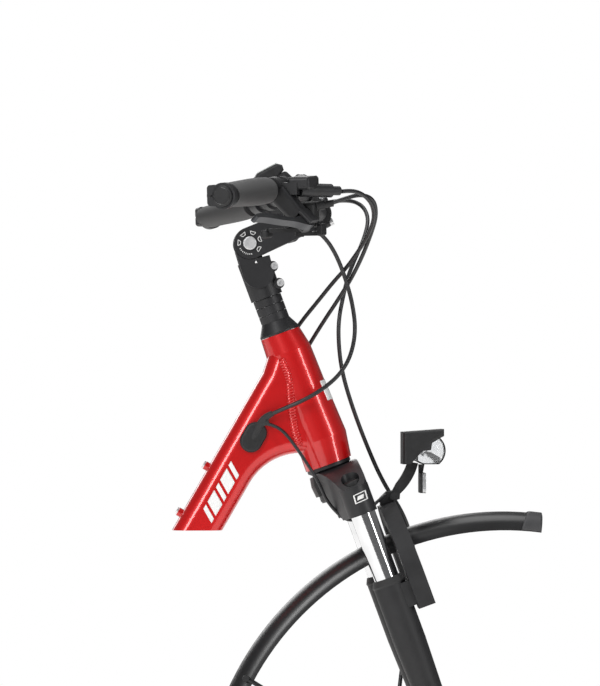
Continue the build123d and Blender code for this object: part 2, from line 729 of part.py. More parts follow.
def remote_body():
    clamp = rod((0, -6, 0), (0, 6, 0), 14)
    case = fillet((Pos(-4, -1, 22) * Box(30, 34, 18)).edges(), 5)
    body = clamp + case - rod((0, -20, 0), (0, 20, 0), bar_radius)
    for y in (-9, 7):
        body -= Pos(-4, y, 29.5) * Box(14.6, 10.6, 9)
    return both(on_bar(inner_station) * body, 1)


def remote_button(y):
    button = Pos(-4, y, 29.6) * Box(14, 10, 6)
    button = fillet(button.faces().sort_by(Axis.Z)[-1].edges(), 1.2)
    return both(on_bar(inner_station) * button, 1)


def display():
    """A wedge whose screen faces up and back to the rider."""
    side = [(68, 421), (72, 426.5), (95, 438.5), (101, 437), (103, 431), (94, 419), (80, 416)]
    case = slab(side, 32)
    edges = [e for e in case.edges() if abs(abs(e.center().Y) - 32) < 0.1]
    return fillet(edges, 3)


def display_mount():
    """Two rings on the bar, either side of the stem, and a bridge back to the display."""
    clamp = clamp_point()
    mount = Part()
    for y in (-28.5, 28.5):
        mount += pin(clamp.X, clamp.Z, 16.4, y - 4.5, y + 4.5)
        mount += link(4, (clamp.X - 6, clamp.Z + 14, 5), (104, 424, 5), y)
    mount += link(33, (104, 424, 5), (96, 419.5, 3.2))
    mount -= display()
    return mount - pin(clamp.X, clamp.Z, bar_middle_radius, -60, 60)


def on_rise():
    """A place on the bar's rising part, left side: X forwards, Y along the bar, Z up."""
    clamp = clamp_point()
    elbow, knee = Vector(clamp.X, bar_elbow, clamp.Z), Vector(*bar_knee)
    along = (knee - elbow).normalized()
    front = Vector(along.Y, -along.X, 0).normalized()
    return Location(Plane(origin=elbow + (knee - elbow) * 0.6, x_dir=front, z_dir=front.cross(along)))


def bell():
    """A small domed bell on a clamp ring."""
    ring = rod((0, -4.5, 0), (0, 4.5, 0), 13.6, bar_radius)
    foot = rod((-6, 0, 12.6), (-6, 0, 18), 7)
    dome = Pos(-6, 0, 17) * turned([
        (0, 12), (5, 11.4), (9.5, 9), (12.4, 5), (13, 0), (12, 0), (11.4, 4.6), (8.8, 8), (5, 10.2),
        (2, 10.6), (2, 0), (0, 0),
    ])
    return both(on_rise() * (ring + foot + dome + Pos(9, 0, 13) * Box(8, 6, 5)), -1)


def bell_hammer():
    """The thumb-flicked striker in front of the dome."""
    return both(on_rise() * (rod((10, 0, 16.2), (10, 0, 23), 1.2) + Pos(10.6, 0, 25) * Sphere(3.2)), -1)


# ---- lamp ----
def lamp_base():
    """The block bolted on the arch and the pin that the lamp's arm turns on."""
    block = slab([(220.2, 29.2), (235.5, 34.9), (243, 37), (243.5, 44), (238, 48), (227, 46), (219, 38)], 9)
    block -= slab([(228, 33.5), (260, 30), (252, 52), (228, 52)], 4.3)
    block += pin(236.4, 40.2, 3, -9.1, 9.1) + pin(236.4, 40.2, 5, -12, -9) + pin(236.4, 40.2, 5, 9, 12)
    return block


def lamp_arm():
    """A bent strap from the pivot pin up to the underside of the lamp."""
    outline = Wire([
        Line((231.9, 42.2), (239, 56)), ThreePointArc((239, 56), (247, 68), (253, 82)),
        Line((253, 82), (265.6, 80)), ThreePointArc((265.6, 80), (258.4, 61.6), (241.4, 41.2)),
        ThreePointArc((241.4, 41.2), (237.5, 35.4), (231.9, 42.2)),
    ])
    strap = extrude(side_plane * make_face(outline), 3.6, both=True)
    return strap - pin(236.4, 40.2, 3 + running_gap, -20, 20) - lamp_body() - lamp_lens()


def lamp_body():
    """The housing with its long visor."""
    side = [(246, 79), (246, 117.6), (295.2, 121.2), (295.2, 112.8), (281, 104.4), (279.6, 96), (268.8, 94.8),
            (255, 79)]
    body = slab(side, 29)
    edges = [e for e in body.edges() if abs(abs(e.center().Y) - 29) < 0.1 and e.center().Z > 98]
    return fillet(edges, 4) - slab([(262, 82), (300, 82), (300, 111.5), (280, 111.5), (262, 96)], 26.2)


def lamp_lens():
    """The clear front with the light engine behind it."""
    side = Wire([
        Line((262.6, 82.6), (262.6, 95)), Line((262.6, 95), (280.4, 110.9)),
        Line((280.4, 110.9), (290, 110.9)), ThreePointArc((290, 110.9), (297, 96), (289, 79)),
        Line((289, 79), (270, 79)), Line((270, 79), (262.6, 82.6)),
    ])
    return extrude(side_plane * make_face(side), 26, both=True)


def front_reflector():
    """A white reflector on a hook under the lamp."""
    plate = Pos(270.3, 0, 56.4) * Box(6, 44, 24)
    plate = fillet(plate.edges().filter_by(Axis.X), 4)
    hook = slab([(266.3, 68), (271, 68), (273, 78.6), (266.3, 78.6)], 6)
    return plate + hook


# ---- hoses ----
def hose(points, radius=hose_radius):
    """Straight runs joined by the largest tangent arcs that they allow."""
    route = [Vector(*point) for point in points]
    radii = []
    for before, here, after in zip(route, route[1:], route[2:]):
        turn = (here - before).get_angle(after - here)
        run = min((here - before).length, (after - here).length)
        radii.append(0.45 * run / tan(radians(turn / 2)))
    path = FilletPolyline(*route, radius=radii)
    tube = sweep(Plane(origin=path @ 0, z_dir=path % 0) * Circle(radius), path=path)
    print(f"  smallest bend {min(radii):.0f}, length {path.length:.0f},"
          f" volume share {tube.volume / (pi * radius**2 * path.length):.3f}")
    return tube


# from the right lever to the left port, in two stretches that meet before the head tube
rear_brake_upper = [(166, -152, 400), (179, -142, 402), (194, -127, 397), (205, -107, 386), (208, -86, 370),
                    (202, -62, 352), (192, -38, 334), (180, -16, 316), (172, -5, 307)]
rear_brake_lower = [(172, -5, 307), (164, 6, 298), (147, 24, 276), (126, 36, 250), (106, 40, 220),
                    (92, 38, 190), (84, 34, 162), (77, 31, 136)]
front_brake_upper = [(166, 152, 400), (186, 140, 403), (205, 118, 396), (212, 92, 378), (205, 68, 353),
                     (193, 50, 328), (183, 37, 305), (180, 33, 293)]
front_brake_lower = [(180, 33, 293), (177, 29, 281), (171, 22, 252), (171, 19, 222), (175, 19, 190),
                     (186, 21, 152), (204, 26, 104), (226, 36, 55), (253, 58, 17), (268, 86, -29),
                     (267, 93, -78), (259, 96, -126), (252, 92, -172), (247, 80, -208),
                     (245, 66, -235), (249, 56, -256)]
shift_upper = [(151, -127, 386), (168, -121, 392), (190, -108, 399), (207, -90, 394), (212, -68, 376),
               (206, -48, 353), (197, -28, 328), (186, -11, 304), (179, -2, 292)]
shift_lower = [(179, -2, 292), (172, 7, 280), (154, 27, 252), (137, 38, 224), (120, 42, 194), (106, 40, 166),
               (92, 34, 143)]
cockpit_upper = [(141, -33, 359), (153, -29, 350), (167, -22, 328), (178, -16, 300), (182, -14, 286)]
cockpit_lower = [(182, -14, 286), (186, -12, 272), (190, -14, 240), (184, -24, 210), (171, -35, 188),
                 (152, -42, 171), (127, -44, 156), (103, -40, 146), (81, -31, 136)]
lamp_lead_upper = [(76, -31, 129), (88, -34, 127), (101, -36, 120), (112, -37, 107), (124, -37, 90),
                   (137, -37, 70), (147, -38, 52), (153, -38, 37), (160, -38, 28.5)]
lamp_lead_lower = [(160.04, -38, 28.45), (172, -38, 14), (190, -36, 12), (205, -31, 24), (215, -25, 35),
                   (226, -13, 42)]


parts = {
    "frame_front": frame_front(),
    "headset_bearings": headset_bearings(),
    "bottle_bolts": bottle_bolts(),
    "port_covers": port_cover(-1) + port_cover(1),
    "steerer_tube": steerer_tube(),
    "fork_crown": fork_crown(),
    "crown_bumper": crown_bumper(),
    "stanchions": stanchions(),
    "fork_springs": fork_springs(),
    "preload_knob": fork_knob(1),
    "lockout_knob": fork_knob(-1),
    "headset_cover": headset_cover(),
    "headset_spacers": headset_spacers(),
    "stem_base": stem_base(),
    "steerer_cap": steerer_cap(),
    "stem_bolts": stem_clamp_bolts() + stem_pivot_bolt(),
    "stem_arm": stem_arm(),
    "stem_faceplate": stem_faceplate(),
    "faceplate_bolts": faceplate_bolts(),
    "handlebar": handlebar(),
    "grip_right": grip(-1),
    "grip_left": grip(1),
    "grip_clamps": grip_clamps(),
    "bar_plugs": bar_plugs(),
    "brake_body_right": brake_body(-1),
    "brake_body_left": brake_body(1),
    "brake_blade_right": brake_blade(-1),
    "brake_blade_left": brake_blade(1),
    "shifter_body": shifter_body(),
    "barrel_adjuster": barrel_adjuster(),
    "shift_lever": shift_lever(),
    "release_lever": release_lever(),
    "remote_body": remote_body(),
    "remote_plus": remote_button(-9),
    "remote_minus": remote_button(7),
    "display": display(),
    "display_mount": display_mount(),
    "bell": bell(),
    "bell_hammer": bell_hammer(),
    "fork_lowers": fork_lowers(),
    "dust_seals": dust_seals(),
    "fork_rods": fork_rods(),
    "brake_caliper": brake_caliper(),
    "mudguard": mudguard(),
    "guard_stays": guard_stays(),
    "lamp_base": lamp_base(),
    "lamp_arm": lamp_arm(),
    "lamp_body": lamp_body(),
    "lamp_lens": lamp_lens(),
    "front_reflector": front_reflector(),
    "rear_brake_hose_upper": hose(rear_brake_upper),
    "rear_brake_hose_lower": hose(rear_brake_lower),
    "front_brake_hose_upper": hose(front_brake_upper),
    "front_brake_hose_lower": hose(front_brake_lower),
    "shift_cable_upper": hose(shift_upper),
    "shift_cable_lower": hose(shift_lower),
    "cockpit_cable_upper": hose(cockpit_upper),
    "cockpit_cable_lower": hose(cockpit_lower),
    "lamp_lead_upper": hose(lamp_lead_upper, lead_radius),
    "lamp_lead_lower": hose(lamp_lead_lower, lead_radius),
}
os.makedirs("parts", exist_ok=True)
for name, shape in parts.items():
    export_step(shape, f"parts/{name}.step")
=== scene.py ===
import json
import math

import bmesh
import bpy
from mathutils import Matrix, Vector
from mathutils.bvhtree import BVHTree


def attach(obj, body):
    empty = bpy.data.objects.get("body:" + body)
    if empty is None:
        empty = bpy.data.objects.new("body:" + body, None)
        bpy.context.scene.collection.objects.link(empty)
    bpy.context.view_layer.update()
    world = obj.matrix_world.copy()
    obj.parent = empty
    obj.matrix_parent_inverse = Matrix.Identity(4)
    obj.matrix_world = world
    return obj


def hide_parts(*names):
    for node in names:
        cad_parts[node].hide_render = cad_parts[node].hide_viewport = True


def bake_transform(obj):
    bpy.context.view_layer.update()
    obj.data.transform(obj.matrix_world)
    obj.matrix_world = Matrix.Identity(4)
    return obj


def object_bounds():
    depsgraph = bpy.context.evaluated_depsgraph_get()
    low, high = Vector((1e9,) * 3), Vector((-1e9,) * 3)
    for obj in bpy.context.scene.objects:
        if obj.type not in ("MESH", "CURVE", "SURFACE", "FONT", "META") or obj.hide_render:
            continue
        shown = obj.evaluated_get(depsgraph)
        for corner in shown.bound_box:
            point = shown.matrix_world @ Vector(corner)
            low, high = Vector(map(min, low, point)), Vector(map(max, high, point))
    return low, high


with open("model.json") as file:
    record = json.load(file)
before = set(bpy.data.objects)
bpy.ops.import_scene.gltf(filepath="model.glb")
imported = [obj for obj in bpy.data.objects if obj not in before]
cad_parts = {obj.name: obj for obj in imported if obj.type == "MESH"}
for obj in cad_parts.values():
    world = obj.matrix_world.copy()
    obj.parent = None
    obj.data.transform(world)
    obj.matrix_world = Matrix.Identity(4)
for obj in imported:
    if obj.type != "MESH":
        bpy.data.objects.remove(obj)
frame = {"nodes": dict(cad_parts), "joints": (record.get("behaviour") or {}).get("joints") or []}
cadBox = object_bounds()
nodes = frame["nodes"]
joints = {joint["name"]: joint for joint in frame["joints"]}
print("frame loaded:", len(nodes), "nodes")


millimetre = 0.001


def mm(x, y, z):
    return Vector((x, y, z)) * millimetre


# the steering axis and the place of the fork crown's middle on it
steerAxis = Vector(joints["steering_turn"]["axis"])
crownMiddle = mm(157.6, 0, 79.2)
steerForward = Vector((steerAxis.z, 0, -steerAxis.x))
steerFrame = Matrix.Translation(crownMiddle) @ Matrix((
    (steerForward.x, 0, steerAxis.x, 0),
    (0, 1, 0, 0),
    (steerForward.z, 0, steerAxis.z, 0),
    (0, 0, 0, 1),
))


def onSteer(x, y, z):
    # x forward of the steering axis, z up along it
    return steerFrame @ mm(x, y, z)


studio = {
    "cameraPlace": (-0.1152, -5.5, 0.168),
    "cameraAim": (0.1236, 0, 0.2244),
    "lens": 240.5,
    "floorColour": "#F4F3F1",
    "floorDrop": 0.012,
    "floorRadius": 2.5,
    "floorGlow": 0.55,
    "skyColour": "#FFFFFF",
    "fillStrength": 0.14,
    "paperGrain": 2.5,
    "lightAim": (0.12, 0, 0.15),
    "lights": {                # place, width, height and watts
        "keyLight": ((-1.3, -2.2, 1.5), 0.7, 1.8, 40),
        "fillLight": ((2.4, -2.0, 0.9), 0.45, 1.8, 22),
        "topLight": ((0.2, 0.2, 2.4), 1.8, 1.8, 24),
        "backLight": ((-0.6, 2.6, 1.2), 2.0, 1.6, 24),
    },
}


def linearColour(hexText):
    channels = [int(hexText[i:i + 2], 16) / 255 for i in (1, 3, 5)]
    return tuple(c / 12.92 if c <= 0.04045 else ((c + 0.055) / 1.055) ** 2.4 for c in channels) + (1.0,)


def addNode(tree, kind, settings=None, links=None):
    # a number or a name of an input sets that input, and any other name sets the node itself
    node = tree.nodes.new(kind)
    for key, value in (settings or {}).items():
        if isinstance(key, int) or key in node.inputs:
            node.inputs[key].default_value = value
        else:
            setattr(node, key, value)
    for key, source in (links or {}).items():
        tree.links.new(source, node.inputs[key])
    return node


def makeCamera():
    data = bpy.data.cameras.new("camera")
    data.lens = studio["lens"]
    data.sensor_width = 36
    data.clip_end = 50
    camera = bpy.data.objects.new("camera", data)
    camera.location = studio["cameraPlace"]
    aim = Vector(studio["cameraAim"]) - camera.location
    camera.rotation_euler = aim.to_track_quat("-Z", "Y").to_euler()
    bpy.context.scene.collection.objects.link(camera)
    bpy.context.scene.camera = camera


def softLight(name, place, width, height, watts):
    data = bpy.data.lights.new(name, "AREA")
    data.shape = "RECTANGLE"
    data.size = width
    data.size_y = height
    data.energy = watts
    light = bpy.data.objects.new(name, data)
    light.location = place
    light.rotation_euler = (Vector(studio["lightAim"]) - Vector(place)).to_track_quat("-Z", "Y").to_euler()
    bpy.context.scene.collection.objects.link(light)


def makeStudio():
    makeCamera()
    for name, light in studio["lights"].items():
        softLight(name, *light)

    world = bpy.data.worlds.new("studioSky")
    bpy.context.scene.world = world
    world.use_nodes = True
    tree = world.node_tree
    tree.nodes.clear()
    sky = linearColour(studio["skyColour"])
    seen = addNode(tree, "ShaderNodeBackground", {"Color": sky, "Strength": 1.0})
    fill = addNode(tree, "ShaderNodeBackground", {"Color": sky, "Strength": studio["fillStrength"]})
    path = addNode(tree, "ShaderNodeLightPath")
    direct = addNode(tree, "ShaderNodeMath", {"operation": "MAXIMUM"},
                     {0: path.outputs["Is Camera Ray"], 1: path.outputs["Is Transmission Ray"]})
    mix = addNode(tree, "ShaderNodeMixShader", None,
                  {0: direct.outputs[0], 1: fill.outputs[0], 2: seen.outputs[0]})
    addNode(tree, "ShaderNodeOutputWorld", None, {"Surface": mix.outputs[0]})
    bpy.context.scene.view_settings.view_transform = "Standard"

    bm = bmesh.new()
    bmesh.ops.create_circle(bm, cap_ends=True, segments=96, radius=studio["floorRadius"])
    mesh = bpy.data.meshes.new("floor")
    bm.to_mesh(mesh)
    bm.free()
    floor = bpy.data.objects.new("floor", mesh)
    floor.location = (0, 0, cadBox[0].z - studio["floorDrop"])
    bpy.context.scene.collection.objects.link(floor)
    floor.data.materials.append(paperMaterial())
    print("studio made")


def paperMaterial():
    # matt paper sweep: even and pale, with hardly any texture
    material = bpy.data.materials.new("paperSweep")
    material.use_nodes = True
    tree = material.node_tree
    shader = tree.nodes["Principled BSDF"]
    shader.inputs["Roughness"].default_value = 0.9
    shader.inputs["Emission Color"].default_value = linearColour(studio["floorColour"])
    shader.inputs["Emission Strength"].default_value = studio["floorGlow"]
    place = addNode(tree, "ShaderNodeTexCoord")
    grain = addNode(tree, "ShaderNodeTexNoise",
                    {"Scale": 1 / (studio["paperGrain"] * millimetre), "Detail": 3.0},
                    {"Vector": place.outputs["Object"]})
    ramp = addNode(tree, "ShaderNodeValToRGB", None, {"Fac": grain.outputs["Fac"]})
    ramp.color_ramp.elements[0].color = linearColour("#EFEEEC")
    ramp.color_ramp.elements[1].color = linearColour(studio["floorColour"])
    tree.links.new(ramp.outputs["Color"], shader.inputs["Base Color"])
    return material


makeStudio()

materials = {}


def startMaterial(name, look):
    # a principled shader with the constant values of the finish set on its own sockets
    material = bpy.data.materials.new(name)
    material.use_nodes = True
    shader = material.node_tree.nodes["Principled BSDF"]
    for key, value in look["shader"].items():
        shader.inputs[key].default_value = value
    materials[name] = material
    return material.node_tree, shader


def mottled(name, look):
    # colour that wanders between two close tones, roughness that wanders with it, and a fine grain in relief
    tree, shader = startMaterial(name, look)
    place = addNode(tree, "ShaderNodeTexCoord")
    cloud = addNode(tree, "ShaderNodeTexNoise",
                    {"Scale": 1 / (look["cloudSize"] * millimetre), "Detail": 4.0, "Roughness": 0.6},
                    {"Vector": place.outputs["Object"]})
    tone = addNode(tree, "ShaderNodeValToRGB", None, {"Fac": cloud.outputs["Fac"]})
    tone.color_ramp.elements[0].position = 0.3
    tone.color_ramp.elements[0].color = linearColour(look["dark"])
    tone.color_ramp.elements[1].position = 0.7
    tone.color_ramp.elements[1].color = linearColour(look["light"])
    tree.links.new(tone.outputs["Color"], shader.inputs["Base Color"])
    low, high = look["roughness"]
    rough = addNode(tree, "ShaderNodeMapRange", {"To Min": low, "To Max": high},
                    {"Value": cloud.outputs["Fac"]})
    tree.links.new(rough.outputs["Result"], shader.inputs["Roughness"])
    grain = addNode(tree, "ShaderNodeTexNoise",
                    {"Scale": 1 / (look["grainSize"] * millimetre), "Detail": 2.0},
                    {"Vector": place.outputs["Object"]})
    relief = addNode(tree, "ShaderNodeBump",
                     {"Strength": look["relief"], "Distance": look["grainSize"] * millimetre * 0.3},
                     {"Height": grain.outputs["Fac"]})
    tree.links.new(relief.outputs["Normal"], shader.inputs["Normal"])


looks = {
    # hydroformed aluminium under red wet lacquer: saturated colour, clear deep gloss, a slight orange peel
    "redLacquer": {
        "shader": {"Metallic": 0.25, "IOR": 1.5, "Coat Weight": 1.0, "Coat Roughness": 0.04, "Coat IOR": 1.5},
        "dark": "#D00003", "light": "#DE0005", "cloudSize": 60, "roughness": (0.3, 0.38),
        "grainSize": 4, "relief": 0.05,
    },
    # anodised and painted aluminium of the stem, bar and crown: soft even black with a fine blasted grain
    "blackSatin": {
        "shader": {"Metallic": 0.0, "IOR": 1.5, "Coat Weight": 0.12, "Coat Roughness": 0.35},
        "dark": "#1B1B1D", "light": "#242427", "cloudSize": 25, "roughness": (0.42, 0.52),
        "grainSize": 0.5, "relief": 0.25,
    },
    # powder-coated magnesium of the fork's lowers: matt black with a coarser grain
    "powderBlack": {
        "shader": {"Metallic": 0.0, "IOR": 1.5},
        "dark": "#1C1C1E", "light": "#262628", "cloudSize": 18, "roughness": (0.48, 0.6),
        "grainSize": 0.7, "relief": 0.35,
    },
    # glass-filled nylon of clamps, levers' housings and lamp: dull black, a moulded texture
    "mouldedNylon": {
        "shader": {"Metallic": 0.0, "IOR": 1.52},
        "dark": "#161617", "light": "#232325", "cloudSize": 10, "roughness": (0.45, 0.62),
        "grainSize": 0.6, "relief": 0.4,
    },
    # extruded polycarbonate of the mudguard: smooth satin black with broad soft highlights
    "satinPolycarbonate": {
        "shader": {"Metallic": 0.0, "IOR": 1.58, "Coat Weight": 0.25, "Coat Roughness": 0.25},
        "dark": "#19191A", "light": "#212123", "cloudSize": 70, "roughness": (0.34, 0.42),
        "grainSize": 2.5, "relief": 0.06,
    },
    # grey PVC edging of the mudguard's front end
    "greyVinyl": {
        "shader": {"Metallic": 0.0, "IOR": 1.52},
        "dark": "#3C3C3E", "light": "#48484A", "cloudSize": 12, "roughness": (0.5, 0.6),
        "grainSize": 0.8, "relief": 0.2,
    },
    # stainless steel of bolts, springs and rods: nearly white, a little dull from turning
    "stainlessSteel": {
        "shader": {"Metallic": 0.75},
        "dark": "#E2E3E5", "light": "#F6F6F7", "cloudSize": 4, "roughness": (0.34, 0.46),
        "grainSize": 0.4, "relief": 0.12,
    },
    # hard chrome on the stanchions: nearly a mirror, with faint drawn lines
    "hardChrome": {
        "shader": {"Metallic": 1.0},
        "dark": "#DFE0E2", "light": "#EDEDEF", "cloudSize": 20, "roughness": (0.06, 0.11),
        "grainSize": 1.5, "relief": 0.03,
    },
    # forged aluminium of the lever blades and caliper, in dark grey anodising
    "greyAnodised": {
        "shader": {"Metallic": 0.85},
        "dark": "#4A4B4E", "light": "#5A5B5E", "cloudSize": 14, "roughness": (0.3, 0.42),
        "grainSize": 0.4, "relief": 0.18,
    },
    # silver anodised aluminium of the steerer: even, with soft bright highlights
    "silverAnodised": {
        "shader": {"Metallic": 1.0},
        "dark": "#A5A6A8", "light": "#BDBEC0", "cloudSize": 10, "roughness": (0.26, 0.36),
        "grainSize": 0.5, "relief": 0.12,
    },
    # compression-moulded rubber: soft and dull, a little dusty
    "softRubber": {
        "shader": {"Metallic": 0.0, "IOR": 1.5, "Sheen Weight": 0.15, "Sheen Roughness": 0.6},
        "dark": "#1F1F20", "light": "#2B2B2C", "cloudSize": 8, "roughness": (0.62, 0.78),
        "grainSize": 0.5, "relief": 0.4,
    },
    # PVC outer of hoses and cables: smooth black with a long soft highlight
    "hosePvc": {
        "shader": {"Metallic": 0.0, "IOR": 1.53, "Coat Weight": 0.15, "Coat Roughness": 0.3},
        "dark": "#1A1A1C", "light": "#262629", "cloudSize": 15, "roughness": (0.36, 0.46),
        "grainSize": 0.8, "relief": 0.1,
    },
    # screen print and stickers: flat white ink
    "whiteInk": {
        "shader": {"Metallic": 0.0, "IOR": 1.5, "Coat Weight": 0.5, "Coat Roughness": 0.1},
        "dark": "#FAFAF9", "light": "#FFFFFF", "cloudSize": 9, "roughness": (0.4, 0.5),
        "grainSize": 0.6, "relief": 0.05,
    },
    # display glass over a pale reflective screen that is switched off: light grey with a sharp gloss
    "screenGlass": {
        "shader": {"Metallic": 0.0, "IOR": 1.52, "Coat Weight": 1.0, "Coat Roughness": 0.03},
        "dark": "#C9CDCB", "light": "#D6D9D7", "cloudSize": 20, "roughness": (0.2, 0.28),
        "grainSize": 3, "relief": 0.02,
    },
    # black stove enamel of the bell and the rings in the bar ends: deep and glossy, a faint waviness
    "stoveEnamel": {
        "shader": {"Metallic": 0.0, "IOR": 1.5, "Coat Weight": 0.8, "Coat Roughness": 0.08},
        "dark": "#18181A", "light": "#202022", "cloudSize": 12, "roughness": (0.25, 0.34),
        "grainSize": 3, "relief": 0.06,
    },
    # injection-moulded clear acrylic of the lamp's lens, faceted in small flutes
    "clearAcrylic": {
        "shader": {"IOR": 1.49, "Transmission Weight": 0.92},
        "dark": "#F4F6F8", "light": "#FFFFFF", "cloudSize": 10, "roughness": (0.02, 0.05),
        "grainSize": 2.0, "relief": 0.15,
    },
}
for name, look in looks.items():
    mottled(name, look)


prismLook = {
    "shader": {"Metallic": 0.6, "Roughness": 0.15, "Coat Weight": 1.0, "Coat Roughness": 0.05},
    "light": "#FFFFFF", "dark": "#B9BCC0", "cellSize": 2.4, "relief": 0.6, "depth": 0.4,
}


def reflectorMaterial():
    # clear acrylic over prism cells about 2.4 mm across: pale and sparkling
    tree, shader = startMaterial("prismReflector", prismLook)
    place = addNode(tree, "ShaderNodeTexCoord")
    prisms = addNode(tree, "ShaderNodeTexVoronoi",
                     {"Scale": 1 / (prismLook["cellSize"] * millimetre), "Randomness": 0.15},
                     {"Vector": place.outputs["Object"]})
    tone = addNode(tree, "ShaderNodeValToRGB", None, {"Fac": prisms.outputs["Distance"]})
    tone.color_ramp.elements[0].color = linearColour(prismLook["light"])
    tone.color_ramp.elements[1].color = linearColour(prismLook["dark"])
    tree.links.new(tone.outputs["Color"], shader.inputs["Base Color"])
    relief = addNode(tree, "ShaderNodeBump",
                     {"Strength": prismLook["relief"], "Distance": prismLook["depth"] * millimetre},
                     {"Height": prisms.outputs["Distance"]})
    tree.links.new(relief.outputs["Normal"], shader.inputs["Normal"])


reflectorMaterial()

finishOf = {
    "redLacquer": ["frame_front"],
    "blackSatin": ["headset_cover", "headset_spacers", "stem_base", "steerer_cap", "stem_arm",
                   "stem_faceplate", "handlebar", "grip_clamps", "brake_body_right", "brake_body_left",
                   "fork_crown"],
    "powderBlack": ["fork_lowers", "lamp_base", "guard_stays"],
    "mouldedNylon": ["port_covers", "preload_knob", "lockout_knob", "bar_plugs", "shifter_body",
                     "barrel_adjuster", "shift_lever", "release_lever", "remote_body", "remote_plus",
                     "remote_minus", "display", "display_mount", "lamp_arm", "lamp_body", "front_reflector"],
    "satinPolycarbonate": ["mudguard"],
    "stainlessSteel": ["headset_bearings", "bottle_bolts", "stem_bolts", "faceplate_bolts", "fork_springs",
                       "fork_rods", "bell_hammer"],
    "hardChrome": ["stanchions"],
    "greyAnodised": ["brake_blade_right", "brake_blade_left", "brake_caliper"],
    "silverAnodised": ["steerer_tube"],
    "softRubber": ["crown_bumper", "grip_right", "grip_left", "dust_seals"],
    "stoveEnamel": ["bell"],
    "clearAcrylic": ["lamp_lens"],
}
for finish, members in finishOf.items():
    for member in members:
        for materialSlot in nodes[member].material_slots:
            materialSlot.material = materials[finish]
print("materials made:", len(materials))

# the same points as the CAD routes, in millimetres
hoses = {
    "rear_brake_hose_upper": {
        "radius": 2.5, "length": 199, "bodies": ("bars", "steering"), "stiffness": "stiff",
        "points": [(166, -152, 400), (179, -142, 402), (194, -127, 397), (205, -107, 386), (208, -86, 370),
                   (202, -62, 352), (192, -38, 334), (180, -16, 316), (172, -5, 307)],
    },
    "rear_brake_hose_lower": {
        "radius": 2.5, "length": 210, "bodies": ("steering", "frame"), "stiffness": "stiff",
        "points": [(172, -5, 307), (164, 6, 298), (147, 24, 276), (126, 36, 250), (106, 40, 220),
                   (92, 38, 190), (84, 34, 162), (77, 31, 136)],
    },
    "front_brake_hose_upper": {
        "radius": 2.5, "length": 194, "bodies": ("bars", "steering"), "stiffness": "stiff",
        "points": [(166, 152, 400), (186, 140, 403), (205, 118, 396), (212, 92, 378), (205, 68, 353),
                   (193, 50, 328), (183, 37, 305), (180, 33, 293)],
    },
    "front_brake_hose_lower": {
        "radius": 2.5, "length": 594, "bodies": ("steering", "lowers"), "stiffness": "stiff",
        "points": [(180, 33, 293), (177, 29, 281), (171, 22, 252), (171, 19, 222), (175, 19, 190),
                   (186, 21, 152), (204, 26, 104), (226, 36, 55), (253, 58, 17), (268, 86, -29),
                   (267, 93, -78), (259, 96, -126), (252, 92, -172), (247, 80, -208), (245, 66, -235),
                   (249, 56, -256)],
    },
    "shift_cable_upper": {
        "radius": 2.5, "length": 210, "bodies": ("bars", "steering"), "stiffness": "medium",
        "points": [(151, -127, 386), (168, -121, 392), (190, -108, 399), (207, -90, 394), (212, -68, 376),
                   (206, -48, 353), (197, -28, 328), (186, -11, 304), (179, -2, 292)],
    },
    "shift_cable_lower": {
        "radius": 2.5, "length": 183, "bodies": ("steering", "frame"), "stiffness": "medium",
        "points": [(179, -2, 292), (172, 7, 280), (154, 27, 252), (137, 38, 224), (120, 42, 194),
                   (106, 40, 166), (92, 34, 143)],
    },
    "cockpit_cable_upper": {
        "radius": 2.5, "length": 88, "bodies": ("bars", "steering"), "stiffness": "medium",
        "points": [(141, -33, 359), (153, -29, 350), (167, -22, 328), (178, -16, 300), (182, -14, 286)],
    },
    "cockpit_cable_lower": {
        "radius": 2.5, "length": 214, "bodies": ("steering", "frame"), "stiffness": "medium",
        "points": [(182, -14, 286), (186, -12, 272), (190, -14, 240), (184, -24, 210), (171, -35, 188),
                   (152, -42, 171), (127, -44, 156), (103, -40, 146), (81, -31, 136)],
    },
    "lamp_lead_upper": {
        "radius": 2.0, "length": 136, "bodies": ("frame", "steering"), "stiffness": "medium",
        "points": [(76, -31, 129), (88, -34, 127), (101, -36, 120), (112, -37, 107), (124, -37, 90),
                   (137, -37, 70), (147, -38, 52), (153, -38, 37), (160, -38, 28.5)],
    },
    "lamp_lead_lower": {
        "radius": 2.0, "length": 89, "bodies": ("steering", "lowers"), "stiffness": "medium",
        "points": [(160.04, -38, 28.45), (172, -38, 14), (190, -36, 12), (205, -31, 24), (215, -25, 35),
                   (226, -13, 42)],
    },
}


def meshOf(curveObject):
    return bpy.data.meshes.new_from_object(curveObject.evaluated_get(bpy.context.evaluated_depsgraph_get()))


def smoothCurve(name, points, steps):
    # a smooth curve that starts and ends on its outer points
    curve = bpy.data.curves.new(name, "CURVE")
    curve.dimensions = "3D"
    curve.resolution_u = steps
    spline = curve.splines.new("NURBS")
    spline.points.add(len(points) - 1)
    for point, place in zip(spline.points, points):
        point.co = (*mm(*place), 1)
    spline.order_u = 3
    spline.use_endpoint_u = True
    return curve


